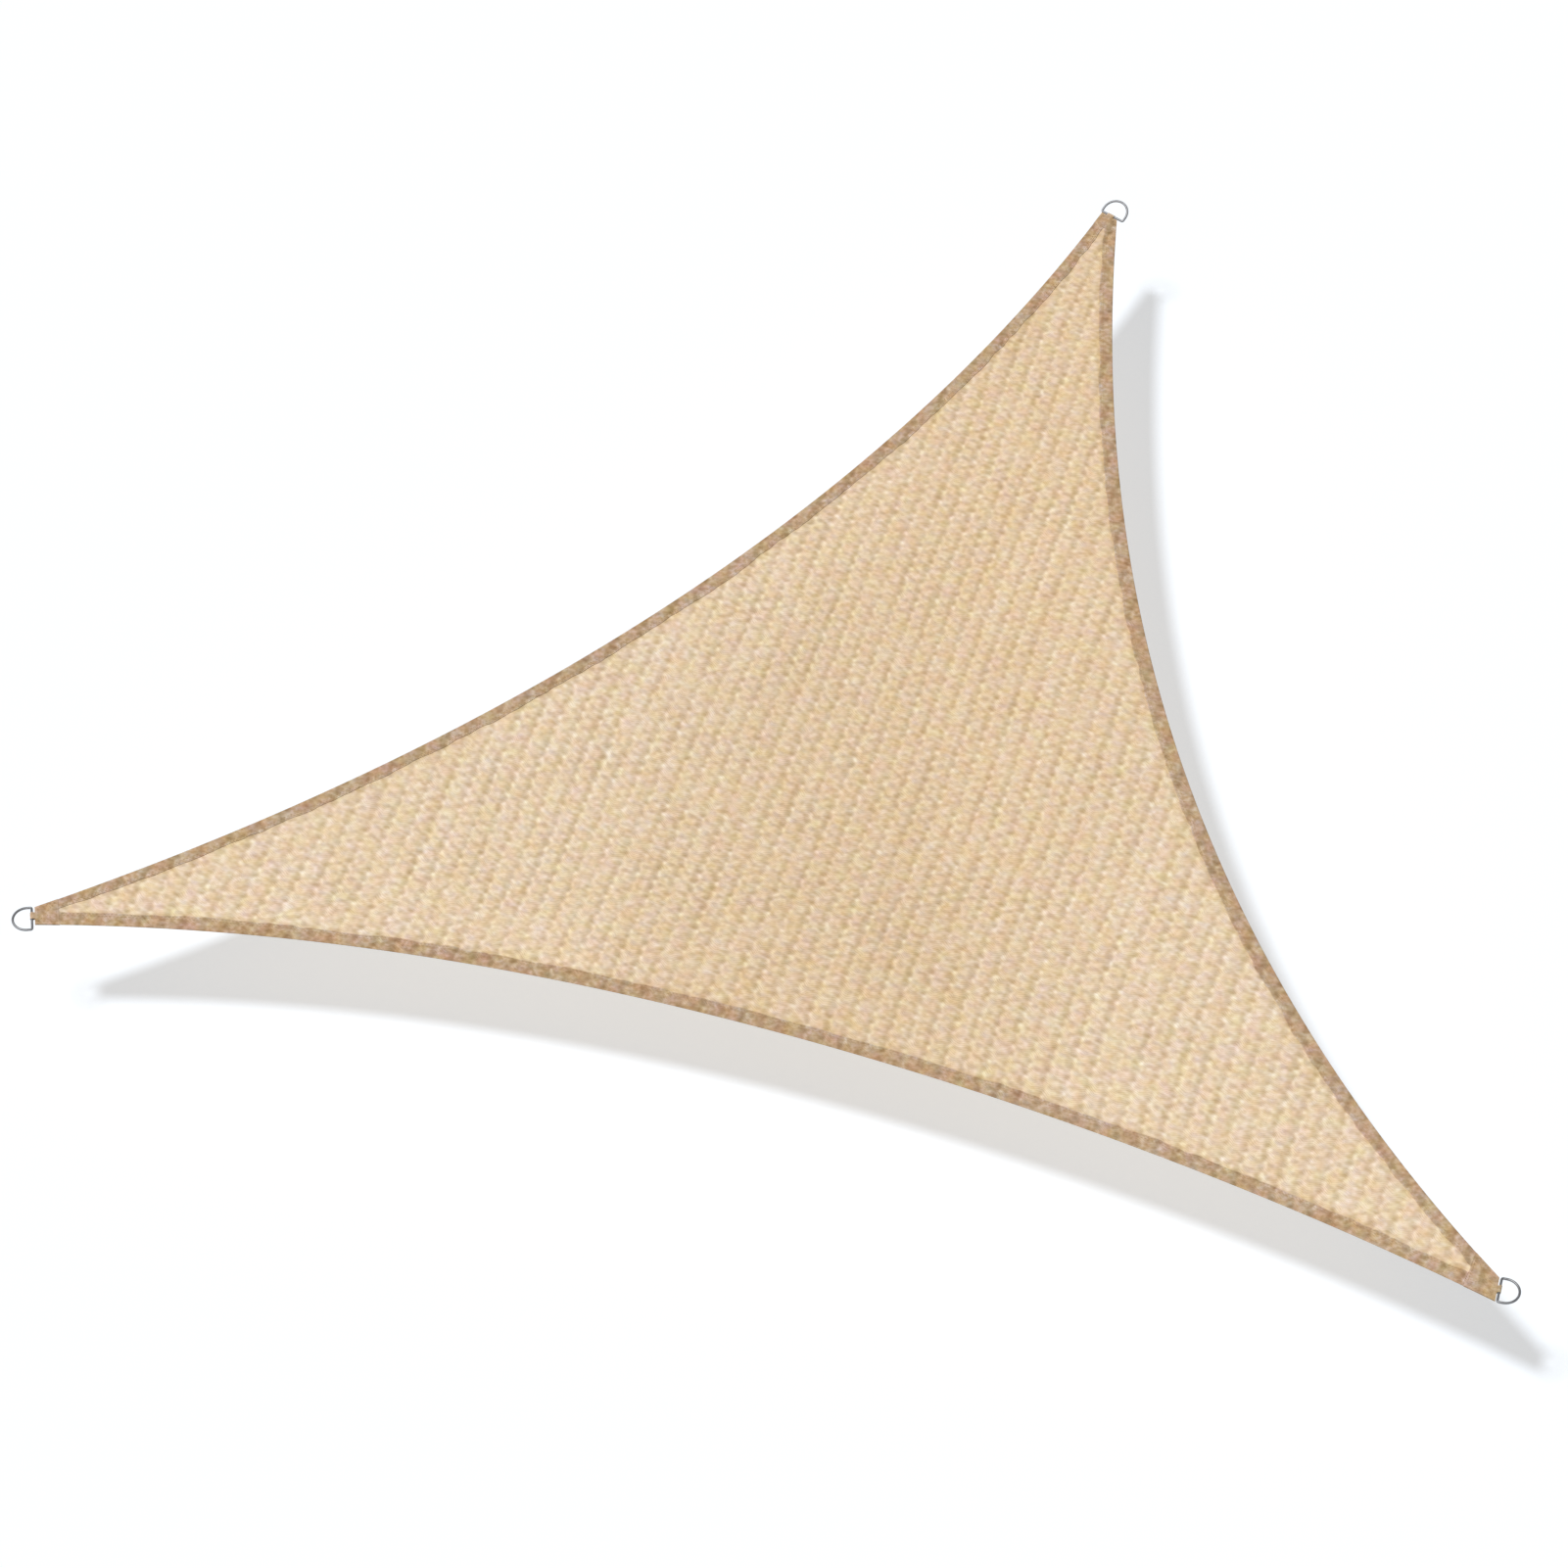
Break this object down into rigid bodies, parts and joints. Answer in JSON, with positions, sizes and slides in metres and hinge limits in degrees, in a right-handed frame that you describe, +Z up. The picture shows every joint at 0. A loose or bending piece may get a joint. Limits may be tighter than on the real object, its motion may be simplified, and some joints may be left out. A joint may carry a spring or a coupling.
{
  "type": "shade sail",
  "caption": "Triangular shade sail of knitted cloth with inward-curved banded edges and a steel D-ring at each corner, stretched level between its hooks.",
  "frame": {"origin": "the point on the inside of the left ring's bow where its hook pulls", "axes": "+X along the lower side from the left corner to the right one, +Y from the lower side towards the top corner, +Z up out of the sail's upper face"},
  "size_m": [3.6947, 3.2167, 0.058],
  "materials": {
    "cloth": "knitted sand-coloured cloth, matt",
    "band": "darker tan tape, matt and slightly mottled",
    "steel": "satin stainless wire"
  },
  "bodies": {
    "root": {"sail_cloth": "cloth", "band_upper": "band", "band_right": "band", "band_lower": "band", "tab_left": "band", "tab_top": "band", "tab_right": "band", "ring_left": "steel", "ring_top": "steel", "ring_right": "steel"}
  },
  "joints": []
}
